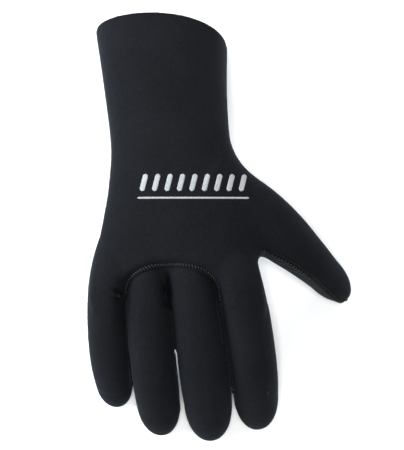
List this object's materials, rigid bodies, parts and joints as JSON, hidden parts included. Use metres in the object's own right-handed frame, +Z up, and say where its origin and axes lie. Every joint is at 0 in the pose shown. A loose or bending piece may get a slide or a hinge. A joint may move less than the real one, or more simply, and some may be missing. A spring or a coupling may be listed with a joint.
{
  "type": "neoprene diving glove",
  "caption": "Right-hand diving glove of thick neoprene foam with a long flared cuff, curved separate fingers and a thumb, an arched knuckle panel and a ribbed palm, lying palm down.",
  "frame": {"origin": "on the surface that the glove lies on, under the middle of its bounding box", "axes": "+Z up off the surface, through the back of the hand; +Y from the fingertips to the cuff's mouth; +X to the thumb's side"},
  "size_m": [0.163, 0.2646, 0.0827],
  "materials": {
    "stretch_cloth": "dull black stretch knit over closed-cell neoprene foam, with a faint blue sheen",
    "ribbed_cloth": "dark grey cross-ribbed knit over the same foam",
    "seam_thread": "black overlock thread and glue line"
  },
  "bodies": {
    "root": {"back_panel": "stretch_cloth", "knuckle_panel": "stretch_cloth", "palm_panel": "ribbed_cloth", "knuckle_seam": "seam_thread", "thumb_seam": "seam_thread"}
  },
  "joints": []
}
